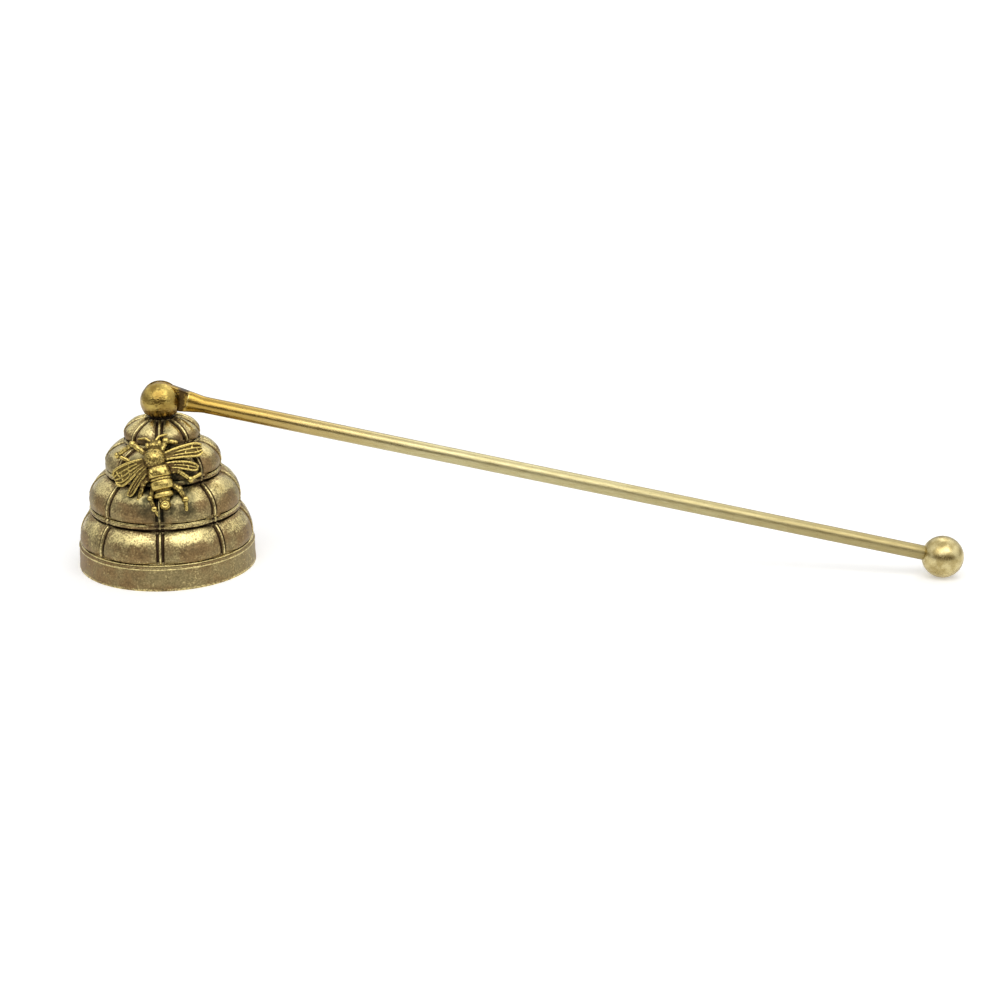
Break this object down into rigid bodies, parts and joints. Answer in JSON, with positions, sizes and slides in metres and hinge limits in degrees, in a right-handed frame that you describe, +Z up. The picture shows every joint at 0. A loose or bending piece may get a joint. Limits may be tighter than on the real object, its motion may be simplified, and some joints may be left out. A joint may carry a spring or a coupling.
{
  "type": "candle snuffer",
  "caption": "Beehive-shaped bell with a bee in relief, hinged at a ball on its crown to a long tapered rod with a ball end, for putting out a candle flame.",
  "frame": {"origin": "centre of the bell's mouth, on the surface that the bell stands on", "axes": "+Z up along the bell's axis, +X under the rod, away from the bell; the bee is on the -Y side"},
  "size_m": [0.2103, 0.042, 0.0446],
  "materials": {
    "antique_cast_brass": "cast brass with dark patina in the recesses, rubbed bright on the rolls",
    "rubbed_cast_brass": "cast brass, rubbed bright on the body and wings, dark in the recesses",
    "polished_brass": "turned and polished",
    "plain_brass": "machined, plain",
    "satin_brass": "drawn and satin rubbed along its length"
  },
  "bodies": {
    "bell": {"hive_bell": "antique_cast_brass", "bee_ornament": "rubbed_cast_brass", "pivot_ball": "polished_brass", "crown_washer": "plain_brass", "crown_nut": "plain_brass", "hinge_pin": "polished_brass"},
    "handle": {"handle_rod": "satin_brass", "end_ball": "satin_brass"}
  },
  "joints": [
    {"name": "handle_hinge", "type": "hinge", "parent": "bell", "child": "handle", "pos_m": [0, 0, 0.0412], "axis": [0, -1, 0], "range_deg": [-6, 208]}
  ]
}
